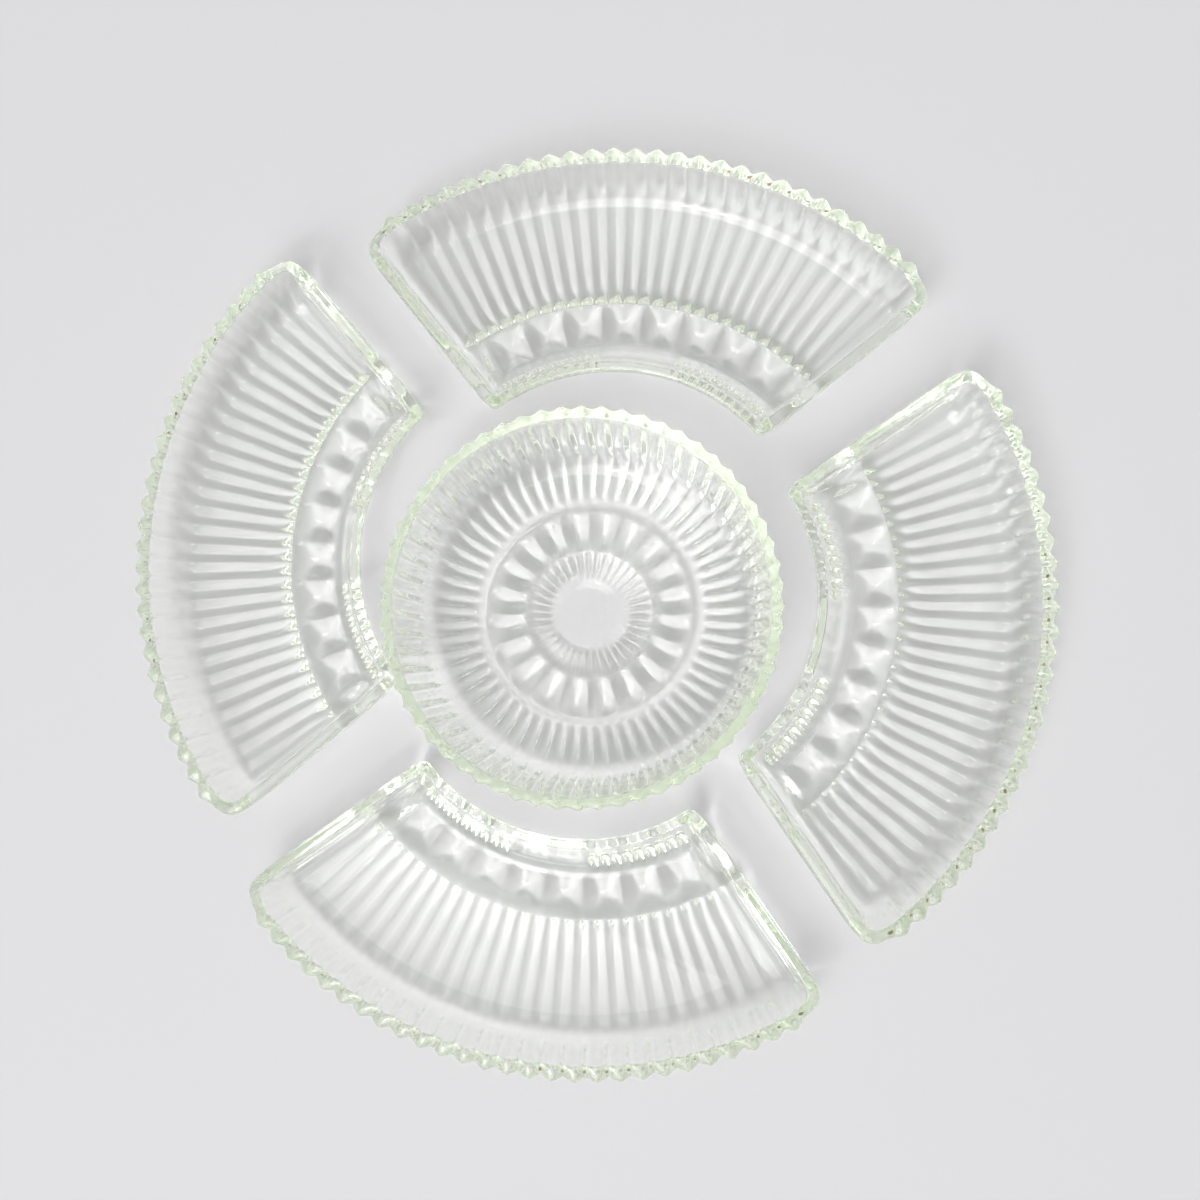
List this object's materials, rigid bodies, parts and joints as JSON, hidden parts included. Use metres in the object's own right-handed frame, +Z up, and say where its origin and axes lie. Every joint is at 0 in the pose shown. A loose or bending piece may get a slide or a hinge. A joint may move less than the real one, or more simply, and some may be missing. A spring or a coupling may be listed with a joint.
{
  "type": "relish tray",
  "caption": "Pressed-glass relish set: fan-shaped dishes with ribbed floors and beaded rims stand round a fluted centre bowl, and each dish lifts away by itself.",
  "frame": {"origin": "on the table, at the middle of the flat disc under the centre bowl", "axes": "+Z up; +X to the right and +Y away from a person who sits at the front dish"},
  "size_m": [0.3139, 0.317, 0.04],
  "materials": {
    "clear_glass": "clear pressed soda-lime glass with a pale green edge tint, fire-polished"
  },
  "bodies": {
    "bowl": {"centre_bowl": "clear_glass"},
    "dish_right": {"right_dish": "clear_glass"},
    "dish_front": {"front_dish": "clear_glass"},
    "dish_left": {"left_dish": "clear_glass"},
    "dish_back": {"back_dish": "clear_glass"}
  },
  "joints": [
    {"name": "right_lift", "type": "slide", "parent": "bowl", "child": "dish_right", "axis": [0, 0, 1], "range_m": [0, 0.08]},
    {"name": "front_lift", "type": "slide", "parent": "bowl", "child": "dish_front", "axis": [0, 0, 1], "range_m": [0, 0.08]},
    {"name": "left_lift", "type": "slide", "parent": "bowl", "child": "dish_left", "axis": [0, 0, 1], "range_m": [0, 0.08]},
    {"name": "back_lift", "type": "slide", "parent": "bowl", "child": "dish_back", "axis": [0, 0, 1], "range_m": [0, 0.08]}
  ]
}
